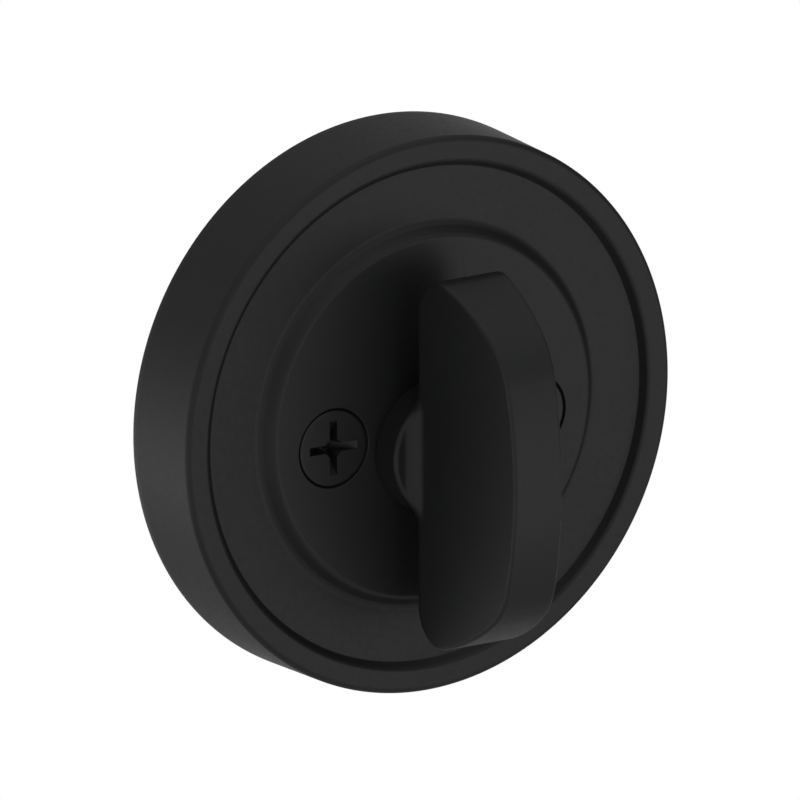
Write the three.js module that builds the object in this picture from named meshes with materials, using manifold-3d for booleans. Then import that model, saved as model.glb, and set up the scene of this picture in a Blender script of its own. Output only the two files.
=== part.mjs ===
// Interior trim of a deadbolt: a round rose with a D-shaped thumb turn, and what sits behind it.
// Millimetres. +Z is up, -Y faces the room, +Y goes into the door.
// The origin is the centre of the rose on the face of the door.
import * as THREE from "three";
import { mergeVertices } from "three/addons/utils/BufferGeometryUtils.js";
import Module from "manifold-3d";

// ---- Clearances ----
const GAP = 0.3; // between faces that rest on each other
const RUNNING = 0.15; // radial, between a turning piece and its bore
const SLIP = 0.2; // radial, between a fixed pin or screw and its hole
const PAST = 1; // how far a cutter reaches past the metal it cuts
const SUNK = 1; // how deep a boss or shank starts inside the metal it stands on

// ---- Rose: a cast shell, open at the back ----
const ROSE_RADIUS = 33.3; // at the door
const ROSE_DRAFT = 0.25; // the wall leans in by this much at the front
const ROSE_DEPTH = 11.25; // door to the flat of the rim
const ROSE_WALL = 2.0;
const RIM_EDGE = 0.75; // radius of the outer front edge
const RIM_WIDTH = 2.5; // outer wall to where the rim's inner edge starts to round over
const RIM_ROUND = 0.8; // radius of that inner edge
const RIM_SLOPE = 53.5; // degrees between the rim's inner wall and the field
const FIELD_DROP = 1.0; // rim down to the ring-shaped field
const DISC_RISE = 1.67; // field up to the centre disc
const DISC_RADIUS = 21.1; // flat of the disc, up to its S-shaped step
const STEP_SLOPE = 55; // degrees between the straight middle of the step and the field
const STEP_SHOULDER = 0.8; // radius at the top of the step
const STEP_FOOT = 1.2; // radius at its foot

// ---- Thumb turn ----
const SPINDLE_DROP = 3.3; // spindle axis below the centre of the rose
const TURN_BACK = 15.95; // door to the straight back edge of the paddle
const TURN_FRONT = 34.6; // door to the foremost point of the paddle
const TURN_THICKNESS = 9.8; // at the back edge
const TURN_TAPER = 5.1; // degrees that each side leans in, towards the front
const FRONT_ARC = 50; // radii of the D, from its middle to its back corners
const FRONT_ARC_ANGLE = 14.1; // degrees of the front arc each side of the middle
const SHOULDER_ARC = 9.4;
const SHOULDER_END_ANGLE = 52; // direction of the outline's normal where the shoulder ends
const END_ARC = 27;
const BACK_CORNER = 4.2;
const HUB_BASE_RADIUS = 7.8; // at the rose
const HUB_RIM_RADIUS = 7.7; // at the paddle
const HUB_EDGE = 0.45; // radius of the hub's front edge
const CORE_RADIUS = 5.4; // the hub's core, which runs on into the paddle
const CORE_DEPTH = 2.5; // how far it runs in
const CORE_INSET = 1.2; // how far it stays inside the paddle's sides

// ---- Shank of the thumb turn, and what it carries ----
const SHANK_RADIUS = 4.5;
const SHANK_FLAT = 3.6; // half width across the two flats at its inner end
const SHANK_END = 5.0; // how far the shank reaches past the face of the door
const SLOT_DEPTH = 9.0; // socket for the spindle, from the shank's end
const SPINDLE_WIDTH = 6.4;
const SPINDLE_THICKNESS = 2.4;
const SPINDLE_LENGTH = 42;
const SPINDLE_NOSE = 0.8; // chamfer that leads the blade into the bolt
const PIN_RADIUS = 0.85;
const PIN_LENGTH = 8.4;
const PIN_PLACE = 2.4; // door face to the pin's axis
const BUSH_WALL = 1.4;
const BUSH_FLANGE_RADIUS = 7.5;
const BUSH_FLANGE = 0.8; // thicknesses along the spindle, from here on
const BOSS_WALL = 1.5;
const HUB_WASHER = 0.6;
const HUB_WASHER_WIDTH = 1.6;
const WASHER_WIDTH = 2.6; // of the wave washer and the flat washer
const WAVE_WASHER = 0.4;
const WAVE_HEIGHT = 0.5; // how far the wave washer's crests stand off its troughs
const WAVES = 3;
const FLAT_WASHER = 0.5;
const RING = 0.8;
const RING_WIDTH = 2.0;
const RING_MOUTH = 60; // degrees left open
const GROOVE_DEPTH = 0.7;
const CAM = 1.5;
const CAM_WALL = 1.0; // least metal between the shank and a flat of the cam
const CAM_CORNER = 1.4; // how far a corner of the cam stands out past its flats

// ---- Detent springs: one each side of the cam ----
const SPRING_STRIP = 0.5;
const SPRING_HALF_LENGTH = 11;
const SPRING_FOOT = 0.4;
const SPRING_FOOT_WIDTH = 5.4;
const SPRING_FOOT_LENGTH = 4.4;
const SPRING_CURL = 1.1; // radius of the roll at the free end
const RIVET_RADIUS = 0.9;
const RIVET_HEAD_RADIUS = 1.7;
const RIVET_CROWN_RADIUS = 1.0; // flat on top of the head
const RIVET_HEAD = 0.6;

// ---- Mounting plate and the pieces that fix it ----
const GASKET = 0.9;
const GASKET_WIDTH = 2.6;
const PLATE = 1.4;
const PLATE_SCREW_RADIUS = 1.25;
const PLATE_SCREW_HEAD_RADIUS = 2.5;
const PLATE_SCREW_HEAD = 0.8;
const PLATE_SCREW_LENGTH = 5.5;
const PLATE_SCREW_BOSS_WALL = 1.6;
const PLATE_SCREWS = { top: 90, left: 210, right: 330 }; // name and direction in degrees

// ---- Mounting screws ----
const SCREW_SPACING = 27.0; // centre to centre
const SCREW_DROP = 1.7; // below the centre of the rose
const SCREW_RADIUS = 2.4;
const SCREW_HEAD_RADIUS = 4.55;
const SCREW_HEAD_EDGE = 0.35; // straight edge above the cone
const SCREW_LENGTH = 38;
const SCREW_POINT = 0.8;
const CROSS_REACH = 3.25; // half length of the cross recess at the face
const CROSS_BOTTOM = 0.9; // half length at its bottom
const CROSS_WIDTH = 1.0;
const CROSS_DEPTH = 2.1;
const COUNTERSINK_WALL = 1.3; // metal around the countersink, inside the rose
const SCREW_BOSS_LIP = 0.65; // metal behind the countersink's cone
const SPACER_WALL = 1.4;
const RETAINER = 0.7;
const RETAINER_WIDTH = 1.8;

// ---- Roundness ----
const ROSE_SIDES = 72;
const SIDES = 40;
const SMALL_SIDES = 20;
const PADDLE_STEPS = 5; // straight pieces in each arc of the paddle's outline

// ---- Where things are along Y, worked out from the sizes above (front is negative) ----
const RIM_Y = -ROSE_DEPTH;
const FIELD_Y = RIM_Y + FIELD_DROP;
const DISC_Y = FIELD_Y - DISC_RISE;
const PLATE_BACK = -(GASKET + GAP);
const PLATE_FRONT = PLATE_BACK - PLATE;
const CAM_BACK = PLATE_FRONT - GAP;
const CAM_FRONT = CAM_BACK - CAM;
const RING_BACK = CAM_FRONT - GAP;
const RING_FRONT = RING_BACK - RING;
const FLAT_WASHER_BACK = RING_FRONT - GAP;
const WAVE_WASHER_BACK = FLAT_WASHER_BACK - FLAT_WASHER - GAP;
const FLANGE_BACK = WAVE_WASHER_BACK - WAVE_WASHER - WAVE_HEIGHT - GAP;
const BOSS_BACK = FLANGE_BACK - BUSH_FLANGE - GAP;
const COUNTERBORE_FLOOR = DISC_Y + HUB_WASHER + GAP;
const HUB_BASE_Y = DISC_Y - GAP;

// ---- Radii that follow from what fits inside them ----
const ROSE_BORE = ROSE_RADIUS - ROSE_WALL;
const PLATE_RADIUS = ROSE_BORE - GAP;
const BUSH_BORE = SHANK_RADIUS + RUNNING;
const BUSH_RADIUS = BUSH_BORE + BUSH_WALL;
const BUSH_SEAT = BUSH_RADIUS + SLIP;
const CAM_HALF = SHANK_RADIUS + CAM_WALL;
const SPRING_X = CAM_HALF + GAP;
const RIVET_X = SPRING_X + SPRING_FOOT_WIDTH / 2 + SPRING_STRIP / 2;
const RIVET_Z = -SPRING_HALF_LENGTH + SPRING_FOOT_LENGTH / 2;
const SCREW_HOLE = SCREW_RADIUS + SLIP;
const COUNTERSINK_RADIUS = SCREW_HEAD_RADIUS + SLIP;
const COUNTERSINK_BACK = DISC_Y + SCREW_HEAD_EDGE + COUNTERSINK_RADIUS - SCREW_HOLE;
const SCREW_BOSS_BACK = COUNTERSINK_BACK + SCREW_BOSS_LIP;
const SPACER_BORE = SCREW_RADIUS + SLIP;
const PLATE_SCREW_CIRCLE = ROSE_BORE - GASKET_WIDTH - GAP - PLATE_SCREW_HEAD_RADIUS - GAP;

const wasm = await Module();
wasm.setup();

// A geometry as a solid. The winding is turned round if the profile ran the other way.
function solid(made) {
  if (!made.isBufferGeometry) return made;
  const bare = made.clone();
  bare.deleteAttribute("normal");
  bare.deleteAttribute("uv");
  const merged = mergeVertices(bare, 1e-4);
  const vertProperties = merged.attributes.position.array;
  const triVerts = new Uint32Array(merged.index.array);
  const first = new wasm.Manifold(new wasm.Mesh({ numProp: 3, vertProperties, triVerts }));
  if (first.volume() > 0) return first;
  return new wasm.Manifold(new wasm.Mesh({ numProp: 3, vertProperties, triVerts: triVerts.reverse() }));
}

function geometryOf(made) {
  const mesh = solid(made).getMesh();
  const geometry = new THREE.BufferGeometry();
  geometry.setAttribute("position", new THREE.BufferAttribute(mesh.vertProperties, 3));
  geometry.setIndex(new THREE.BufferAttribute(mesh.triVerts, 1));
  geometry.computeVertexNormals();
  return geometry;
}

const joined = (first, ...rest) => rest.reduce((whole, next) => whole.add(solid(next)), solid(first));
const cut = (first, ...rest) => rest.reduce((whole, next) => whole.subtract(solid(next)), solid(first));
const common = (first, second) => solid(first).intersect(solid(second));

// Points of an arc in a profile, both ends included. Angles are in degrees.
function arc(x, y, radius, from, to, steps) {
  return Array.from({ length: steps + 1 }, (_, i) => {
    const angle = THREE.MathUtils.degToRad(from + ((to - from) * i) / steps);
    return [x + radius * Math.cos(angle), y + radius * Math.sin(angle)];
  });
}

// A solid of revolution about the Y axis, from [radius, y] pairs.
function turned(profile, sides) {
  const points = profile.map(([radius, y]) => new THREE.Vector2(radius, y));
  return new THREE.LatheGeometry([...points, points[0]], sides);
}

// A straight cylinder and a plain ring along Y.
function rod(radius, front, back, sides = SIDES) {
  return turned([[0, front], [radius, front], [radius, back], [0, back]], sides);
}
function ring(bore, radius, front, back, sides = SIDES) {
  return turned([[bore, front], [radius, front], [radius, back], [bore, back]], sides);
}

function block(x0, x1, y0, y1, z0, z1) {
  const box = new THREE.BoxGeometry(x1 - x0, y1 - y0, z1 - z0);
  return box.translate((x0 + x1) / 2, (y0 + y1) / 2, (z0 + z1) / 2);
}

// A flat outline in X and Z, as thick as front to back along Y.
function slab(shape, front, back) {
  const flat = new THREE.ExtrudeGeometry(shape, { depth: back - front, bevelEnabled: false });
  flat.rotateX(Math.PI / 2);
  return flat.translate(0, back, 0);
}

const at = (geometry, x, z) => geometry.translate(x, 0, z);

const finish = {
  blackPaint: { color: 0x1d1f1f, roughness: 0.5, metalness: 0.1 },
  blackScrew: { color: 0x191a1a, roughness: 0.42, metalness: 0.4 },
  zincSteel: { color: 0xaab0b4, roughness: 0.4, metalness: 1 },
  springSteel: { color: 0x6d7378, roughness: 0.35, metalness: 1 },
  brass: { color: 0xb8975a, roughness: 0.35, metalness: 1 },
  whiteNylon: { color: 0xdcd9cf, roughness: 0.55, metalness: 0 },
  blackAcetal: { color: 0x2a2b2c, roughness: 0.4, metalness: 0 },
  foam: { color: 0x232426, roughness: 0.95, metalness: 0 },
};

function piece(name, made, look) {
  const mesh = new THREE.Mesh(geometryOf(made), new THREE.MeshStandardMaterial(finish[look]));
  mesh.name = name;
  return mesh;
}

// ---- Rose ----
function roseShell() {
  const radians = THREE.MathUtils.degToRad;
  const front = ROSE_RADIUS - ROSE_DRAFT;
  const rimInner = front - RIM_WIDTH;
  const rimSlope = radians(RIM_SLOPE);
  const rimWall = FIELD_DROP - RIM_ROUND * (1 - Math.cos(rimSlope));
  const rimFoot = rimInner - RIM_ROUND * Math.sin(rimSlope) - rimWall / Math.tan(rimSlope);
  // The S-shaped step is an arc, a straight slope and an arc the other way.
  const slope = radians(STEP_SLOPE);
  const arcs = STEP_SHOULDER + STEP_FOOT;
  const straight = DISC_RISE - arcs * (1 - Math.cos(slope));
  const stepFoot = DISC_RADIUS + arcs * Math.sin(slope) + straight / Math.tan(slope);
  const innerField = FIELD_Y + ROSE_WALL;
  const innerDisc = DISC_Y + ROSE_WALL;
  return turned(
    [
      [ROSE_RADIUS, 0],
      ...arc(front - RIM_EDGE, RIM_Y + RIM_EDGE, RIM_EDGE, 0, -90, 5),
      ...arc(rimInner, RIM_Y + RIM_ROUND, RIM_ROUND, -90, -90 - RIM_SLOPE, 4),
      [rimFoot, FIELD_Y],
      ...arc(stepFoot, FIELD_Y - STEP_FOOT, STEP_FOOT, 90, 90 + STEP_SLOPE, 4),
      ...arc(DISC_RADIUS, DISC_Y + STEP_SHOULDER, STEP_SHOULDER, -90 + STEP_SLOPE, -90, 4),
      [0, DISC_Y],
      [0, innerDisc],
      [DISC_RADIUS - ROSE_WALL, innerDisc],
      [stepFoot - ROSE_WALL, innerField],
      [ROSE_BORE - ROSE_WALL, innerField],
      [ROSE_BORE, innerField + ROSE_WALL],
      [ROSE_BORE, 0],
    ],
    ROSE_SIDES,
  );
}

function screwPlaces() {
  return { left: [-SCREW_SPACING / 2, -SCREW_DROP], right: [SCREW_SPACING / 2, -SCREW_DROP] };
}

function plateScrewPlaces() {
  const places = {};
  for (const [side, degrees] of Object.entries(PLATE_SCREWS)) {
    const angle = THREE.MathUtils.degToRad(degrees);
    places[side] = [PLATE_SCREW_CIRCLE * Math.cos(angle), PLATE_SCREW_CIRCLE * Math.sin(angle)];
  }
  return places;
}

function roseCover() {
  let rose = roseShell();
  const hubBoss = rod(BUSH_SEAT + BOSS_WALL, DISC_Y + ROSE_WALL - SUNK, BOSS_BACK);
  rose = joined(rose, at(hubBoss, 0, -SPINDLE_DROP));
  for (const [x, z] of Object.values(screwPlaces())) {
    const boss = rod(COUNTERSINK_RADIUS + COUNTERSINK_WALL, DISC_Y + ROSE_WALL - SUNK, SCREW_BOSS_BACK);
    rose = joined(rose, at(boss, x, z));
  }
  for (const [x, z] of Object.values(plateScrewPlaces())) {
    const boss = rod(
      PLATE_SCREW_RADIUS + PLATE_SCREW_BOSS_WALL,
      FIELD_Y + ROSE_WALL - SUNK,
      PLATE_FRONT - GAP,
      SMALL_SIDES,
    );
    const pilotDepth = PLATE_SCREW_LENGTH - PLATE - GAP;
    const pilot = rod(PLATE_SCREW_RADIUS + SLIP, PLATE_FRONT - pilotDepth - GAP, 0, SMALL_SIDES);
    rose = cut(joined(rose, at(boss, x, z)), at(pilot, x, z));
  }
  for (const [x, z] of Object.values(screwPlaces())) {
    const hole = turned(
      [
        [0, DISC_Y - PAST],
        [COUNTERSINK_RADIUS, DISC_Y - PAST],
        [COUNTERSINK_RADIUS, DISC_Y + SCREW_HEAD_EDGE],
        [SCREW_HOLE, COUNTERSINK_BACK],
        [SCREW_HOLE, SCREW_BOSS_BACK + PAST],
        [0, SCREW_BOSS_BACK + PAST],
      ],
      SIDES,
    );
    rose = cut(rose, at(hole, x, z));
  }
  const washerSeat = SHANK_RADIUS + RUNNING + HUB_WASHER_WIDTH + SLIP;
  const bore = turned(
    [
      [0, DISC_Y - PAST],
      [washerSeat, DISC_Y - PAST],
      [washerSeat, COUNTERBORE_FLOOR],
      [BUSH_SEAT, COUNTERBORE_FLOOR],
      [BUSH_SEAT, BOSS_BACK + PAST],
      [0, BOSS_BACK + PAST],
    ],
    SIDES,
  );
  return piece("rose_cover", cut(rose, at(bore, 0, -SPINDLE_DROP)), "blackPaint");
}

// ---- Mounting plate and gasket ----
function mountingPlate() {
  let plate = rod(PLATE_RADIUS, PLATE_FRONT, PLATE_BACK, ROSE_SIDES);
  const drill = (radius, x, z, sides = SIDES) => {
    plate = cut(plate, at(rod(radius, PLATE_FRONT - PAST, PLATE_BACK + PAST, sides), x, z));
  };
  drill(SHANK_RADIUS + 2 * GAP, 0, -SPINDLE_DROP);
  for (const [x, z] of Object.values(screwPlaces())) drill(SCREW_HOLE, x, z);
  for (const [x, z] of Object.values(plateScrewPlaces())) {
    drill(PLATE_SCREW_RADIUS + SLIP, x, z, SMALL_SIDES);
  }
  for (const side of [-1, 1]) drill(RIVET_RADIUS + SLIP, side * RIVET_X, RIVET_Z - SPINDLE_DROP, SMALL_SIDES);
  return piece("mounting_plate", plate, "zincSteel");
}

function doorGasket() {
  const gasket = ring(PLATE_RADIUS - GASKET_WIDTH, PLATE_RADIUS, -GASKET, 0, ROSE_SIDES);
  return piece("door_gasket", gasket, "foam");
}

function plateScrew(side) {
  const headFront = PLATE_BACK + GAP;
  const tip = headFront - PLATE_SCREW_LENGTH;
  const screw = turned(
    [
      [0, tip],
      [PLATE_SCREW_RADIUS, tip + PLATE_SCREW_RADIUS],
      [PLATE_SCREW_RADIUS, headFront],
      [PLATE_SCREW_HEAD_RADIUS, headFront],
      [PLATE_SCREW_HEAD_RADIUS, headFront + PLATE_SCREW_HEAD],
      [0, headFront + PLATE_SCREW_HEAD],
    ],
    SMALL_SIDES,
  );
  const [x, z] = plateScrewPlaces()[side];
  const mesh = piece("plate_screw_" + side, screw, "zincSteel");
  mesh.position.set(x, 0, z);
  return mesh;
}

// ---- Mounting screws, with the spacer and the retaining washer each one passes through ----
function mountingScrew(side) {
  const coneBack = DISC_Y + SCREW_HEAD_EDGE + SCREW_HEAD_RADIUS - SCREW_RADIUS;
  const tip = DISC_Y + SCREW_LENGTH;
  const body = turned(
    [
      [0, DISC_Y],
      [SCREW_HEAD_RADIUS, DISC_Y],
      [SCREW_HEAD_RADIUS, DISC_Y + SCREW_HEAD_EDGE],
      [SCREW_RADIUS, coneBack],
      [SCREW_RADIUS, tip - SCREW_POINT],
      [SCREW_RADIUS - SCREW_POINT, tip],
      [0, tip],
    ],
    SIDES,
  );
  const wing = new THREE.Shape();
  wing.moveTo(-CROSS_REACH, PAST);
  wing.lineTo(-CROSS_REACH, 0);
  wing.lineTo(-CROSS_BOTTOM, -CROSS_DEPTH);
  wing.lineTo(CROSS_BOTTOM, -CROSS_DEPTH);
  wing.lineTo(CROSS_REACH, 0);
  wing.lineTo(CROSS_REACH, PAST);
  const flat = new THREE.ExtrudeGeometry(wing, { depth: CROSS_WIDTH, bevelEnabled: false });
  flat.translate(0, 0, -CROSS_WIDTH / 2);
  flat.rotateX(Math.PI);
  flat.translate(0, DISC_Y, 0);
  const upright = flat.clone().rotateY(Math.PI / 2);
  return piece("mounting_screw_" + side, cut(body, flat, upright), "blackScrew");
}

function spacer(side) {
  const tube = ring(SPACER_BORE, SPACER_BORE + SPACER_WALL, SCREW_BOSS_BACK + GAP, PLATE_FRONT - GAP);
  return piece("spacer_" + side, tube, "zincSteel");
}

function screwRetainer(side) {
  const front = PLATE_BACK + GAP;
  const washer = ring(SCREW_HOLE, SCREW_HOLE + RETAINER_WIDTH, front, front + RETAINER);
  return piece("screw_retainer_" + side, washer, "whiteNylon");
}

function screwSet(side) {
  const set = new THREE.Group();
  set.add(mountingScrew(side), spacer(side), screwRetainer(side));
  const [x, z] = screwPlaces()[side];
  set.position.set(x, 0, z);
  return set;
}

// ---- Detent springs: a strip beside the cam, a foot riveted to the plate, a rolled free end ----
function detentSpring(side, direction) {
  const inner = SPRING_X;
  const outer = SPRING_X + SPRING_STRIP;
  const back = PLATE_FRONT - GAP;
  const footEnd = -SPRING_HALF_LENGTH + SPRING_FOOT_LENGTH;
  const strip = block(inner, outer, CAM_FRONT, back, -SPRING_HALF_LENGTH, SPRING_HALF_LENGTH);
  const foot = block(
    inner,
    outer + SPRING_FOOT_WIDTH,
    back - SPRING_FOOT,
    back,
    -SPRING_HALF_LENGTH,
    footEnd,
  );
  const curl = rod(SPRING_CURL, CAM_FRONT, back, SMALL_SIDES);
  const hole = rod(RIVET_RADIUS + SLIP, back - SPRING_FOOT - PAST, back + PAST, SMALL_SIDES);
  let spring = joined(strip, foot, at(curl, inner + SPRING_CURL, SPRING_HALF_LENGTH));
  spring = cut(spring, at(hole, RIVET_X, RIVET_Z));
  return piece("detent_spring_" + side, geometryOf(spring).scale(direction, 1, 1), "springSteel");
}

function springRivet(side, direction) {
  const headBack = PLATE_FRONT - GAP - SPRING_FOOT - GAP;
  const tailFront = PLATE_BACK + GAP;
  const rivet = turned(
    [
      [0, headBack - RIVET_HEAD],
      [RIVET_CROWN_RADIUS, headBack - RIVET_HEAD],
      [RIVET_HEAD_RADIUS, headBack],
      [RIVET_RADIUS, headBack],
      [RIVET_RADIUS, tailFront],
      [RIVET_HEAD_RADIUS, tailFront],
      [RIVET_CROWN_RADIUS, tailFront + RIVET_HEAD],
      [0, tailFront + RIVET_HEAD],
    ],
    SMALL_SIDES,
  );
  const mesh = piece("spring_rivet_" + side, rivet, "zincSteel");
  mesh.position.set(direction * RIVET_X, 0, RIVET_Z);
  return mesh;
}

// ---- Thumb turn ----
// The D in side view: X of the shape is the distance from the door, Y is up.
function paddleOutline() {
  const radians = THREE.MathUtils.degToRad;
  const a = radians(FRONT_ARC_ANGLE);
  const b = radians(SHOULDER_END_ANGLE);
  const frontX = TURN_FRONT - FRONT_ARC;
  const shoulderX = frontX + (FRONT_ARC - SHOULDER_ARC) * Math.cos(a);
  const shoulderY = (FRONT_ARC - SHOULDER_ARC) * Math.sin(a);
  const endX = shoulderX + (SHOULDER_ARC - END_ARC) * Math.cos(b);
  const endY = shoulderY + (SHOULDER_ARC - END_ARC) * Math.sin(b);
  const cornerX = TURN_BACK + BACK_CORNER;
  const reach = END_ARC - BACK_CORNER;
  const c = Math.acos((cornerX - endX) / reach);
  const cornerY = endY + reach * Math.sin(c);
  const shape = new THREE.Shape();
  shape.absarc(frontX, 0, FRONT_ARC, -a, a, false);
  shape.absarc(shoulderX, shoulderY, SHOULDER_ARC, a, b, false);
  shape.absarc(endX, endY, END_ARC, b, c, false);
  shape.absarc(cornerX, cornerY, BACK_CORNER, c, Math.PI, false);
  shape.absarc(cornerX, -cornerY, BACK_CORNER, Math.PI, 2 * Math.PI - c, false);
  shape.absarc(endX, -endY, END_ARC, -c, -b, false);
  shape.absarc(shoulderX, -shoulderY, SHOULDER_ARC, -b, -a, false);
  return shape;
}

function paddle() {
  // Thicker than it ends up, so that the two tapered cuts make both sides.
  const depth = TURN_THICKNESS + 2 * PAST;
  const options = { depth, bevelEnabled: false, curveSegments: PADDLE_STEPS };
  const flat = new THREE.ExtrudeGeometry(paddleOutline(), options);
  flat.translate(0, 0, -depth / 2);
  // Shape X becomes -Y, shape Y becomes Z, the thickness runs along X.
  const turn = new THREE.Matrix4().set(0, 0, 1, 0, -1, 0, 0, 0, 0, 1, 0, 0, 0, 0, 0, 1);
  flat.applyMatrix4(turn);
  let made = flat;
  const reach = 2 * TURN_FRONT;
  for (const side of [-1, 1]) {
    const wedge = new THREE.BoxGeometry(reach, 2 * reach, reach);
    wedge.translate((side * reach) / 2, 0, 0);
    wedge.rotateZ(THREE.MathUtils.degToRad(-side * TURN_TAPER));
    wedge.translate((side * TURN_THICKNESS) / 2, -TURN_BACK, 0);
    made = cut(made, wedge);
  }
  return made;
}

function thumbTurn() {
  const hub = turned(
    [
      [0, HUB_BASE_Y],
      [HUB_BASE_RADIUS, HUB_BASE_Y],
      ...arc(HUB_RIM_RADIUS - HUB_EDGE, -TURN_BACK + HUB_EDGE, HUB_EDGE, 0, -90, 3),
      [0, -TURN_BACK],
    ],
    SIDES,
  );
  const core = rod(CORE_RADIUS, -TURN_BACK - CORE_DEPTH, HUB_BASE_Y);
  const halfCore = TURN_THICKNESS / 2 - CORE_INSET;
  const slimmed = common(core, block(-halfCore, halfCore, -TURN_FRONT, 0, -ROSE_RADIUS, ROSE_RADIUS));
  const groove = SHANK_RADIUS - GROOVE_DEPTH;
  const shank = turned(
    [
      [0, HUB_BASE_Y - SUNK],
      [SHANK_RADIUS, HUB_BASE_Y - SUNK],
      [SHANK_RADIUS, RING_FRONT - GAP],
      [groove, RING_FRONT - GAP],
      [groove, RING_BACK + GAP],
      [SHANK_RADIUS, RING_BACK + GAP],
      [SHANK_RADIUS, SHANK_END],
      [0, SHANK_END],
    ],
    SIDES,
  );
  const beside = SHANK_RADIUS + PAST;
  const flats = [
    block(-beside, -SHANK_FLAT, RING_BACK, SHANK_END + PAST, -beside, beside),
    block(SHANK_FLAT, beside, RING_BACK, SHANK_END + PAST, -beside, beside),
  ];
  const halfThickness = SPINDLE_THICKNESS / 2 + RUNNING;
  const halfWidth = SPINDLE_WIDTH / 2 + RUNNING;
  const slot = block(
    -halfThickness,
    halfThickness,
    SHANK_END - SLOT_DEPTH,
    SHANK_END + PAST,
    -halfWidth,
    halfWidth,
  );
  const whole = cut(joined(paddle(), hub, slimmed, shank), ...flats, slot, crossHole());
  return piece("thumb_turn", whole, "blackPaint");
}

// The hole for the pin, along X.
function crossHole() {
  const through = 2 * (SHANK_RADIUS + PAST);
  const hole = new THREE.CylinderGeometry(PIN_RADIUS + SLIP, PIN_RADIUS + SLIP, through, SMALL_SIDES);
  hole.rotateZ(Math.PI / 2);
  hole.translate(0, PIN_PLACE, 0);
  return hole;
}

function spindle() {
  const front = SHANK_END - SLOT_DEPTH + GAP;
  const halfThickness = SPINDLE_THICKNESS / 2;
  const halfWidth = SPINDLE_WIDTH / 2;
  const side = new THREE.Shape();
  side.moveTo(front, -halfWidth);
  side.lineTo(front + SPINDLE_LENGTH - SPINDLE_NOSE, -halfWidth);
  side.lineTo(front + SPINDLE_LENGTH, -halfWidth + SPINDLE_NOSE);
  side.lineTo(front + SPINDLE_LENGTH, halfWidth - SPINDLE_NOSE);
  side.lineTo(front + SPINDLE_LENGTH - SPINDLE_NOSE, halfWidth);
  side.lineTo(front, halfWidth);
  const flat = new THREE.ExtrudeGeometry(side, { depth: SPINDLE_THICKNESS, bevelEnabled: false });
  flat.translate(0, 0, -halfThickness);
  // Shape X becomes Y, shape Y becomes Z, the thickness runs along X.
  flat.applyMatrix4(new THREE.Matrix4().set(0, 0, 1, 0, 1, 0, 0, 0, 0, 1, 0, 0, 0, 0, 0, 1));
  return piece("spindle", cut(flat, crossHole()), "zincSteel");
}

function spindlePin() {
  const pin = new THREE.CylinderGeometry(PIN_RADIUS, PIN_RADIUS, PIN_LENGTH, SMALL_SIDES);
  pin.rotateZ(Math.PI / 2);
  pin.translate(0, PIN_PLACE, 0);
  return piece("spindle_pin", pin, "springSteel");
}

function spindleBush() {
  const bush = turned(
    [
      [BUSH_BORE, COUNTERBORE_FLOOR + GAP],
      [BUSH_RADIUS, COUNTERBORE_FLOOR + GAP],
      [BUSH_RADIUS, BOSS_BACK + GAP],
      [BUSH_FLANGE_RADIUS, BOSS_BACK + GAP],
      [BUSH_FLANGE_RADIUS, FLANGE_BACK],
      [BUSH_BORE, FLANGE_BACK],
    ],
    SIDES,
  );
  return piece("spindle_bush", bush, "blackAcetal");
}

function hubWasher() {
  const bore = SHANK_RADIUS + RUNNING;
  const washer = ring(bore, bore + HUB_WASHER_WIDTH, DISC_Y, DISC_Y + HUB_WASHER);
  return piece("hub_washer", washer, "whiteNylon");
}

// A ring whose faces rise and fall together round the axis.
function waveWasher() {
  const bore = SHANK_RADIUS + RUNNING;
  const front = WAVE_WASHER_BACK - WAVE_WASHER - WAVE_HEIGHT / 2;
  const profile = [
    [bore, front],
    [bore + WASHER_WIDTH, front],
    [bore + WASHER_WIDTH, front + WAVE_WASHER],
    [bore, front + WAVE_WASHER],
    [bore, front],
  ].map(([radius, y]) => new THREE.Vector2(radius, y));
  const flat = new THREE.LatheGeometry(profile, SIDES);
  const places = flat.attributes.position;
  for (let i = 0; i < places.count; i += 1) {
    const angle = Math.atan2(places.getX(i), places.getZ(i));
    places.setY(i, places.getY(i) + (WAVE_HEIGHT / 2) * Math.cos(WAVES * angle));
  }
  return piece("wave_washer", flat, "springSteel");
}

function flatWasher() {
  const bore = SHANK_RADIUS + RUNNING;
  const washer = ring(bore, bore + WASHER_WIDTH, FLAT_WASHER_BACK - FLAT_WASHER, FLAT_WASHER_BACK);
  return piece("flat_washer", washer, "brass");
}

// A C-shaped ring that sits in the shank's groove, open at the bottom.
function retainingRing() {
  const bore = SHANK_RADIUS - GROOVE_DEPTH + RUNNING;
  const whole = ring(bore, bore + RING_WIDTH, RING_FRONT, RING_BACK);
  const mouth = new THREE.Shape();
  const half = THREE.MathUtils.degToRad(RING_MOUTH / 2);
  const reach = 2 * (bore + RING_WIDTH);
  mouth.moveTo(0, 0);
  mouth.lineTo(-reach * Math.sin(half), -reach * Math.cos(half));
  mouth.lineTo(reach * Math.sin(half), -reach * Math.cos(half));
  return piece("retaining_ring", cut(whole, slab(mouth, RING_FRONT - PAST, RING_BACK + PAST)), "springSteel");
}

// A square with rounded corners, keyed on the shank's flats.
function detentCam() {
  const square = block(-CAM_HALF, CAM_HALF, CAM_FRONT, CAM_BACK, -CAM_HALF, CAM_HALF);
  const corners = rod(CAM_HALF + CAM_CORNER, CAM_FRONT - PAST, CAM_BACK + PAST);
  const boreRound = rod(SHANK_RADIUS + RUNNING, CAM_FRONT - PAST, CAM_BACK + PAST);
  const keep = SHANK_FLAT + RUNNING;
  const across = block(-keep, keep, CAM_FRONT - PAST, CAM_BACK + PAST, -2 * CAM_HALF, 2 * CAM_HALF);
  return piece("detent_cam", cut(common(square, corners), common(boreRound, across)), "brass");
}

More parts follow.
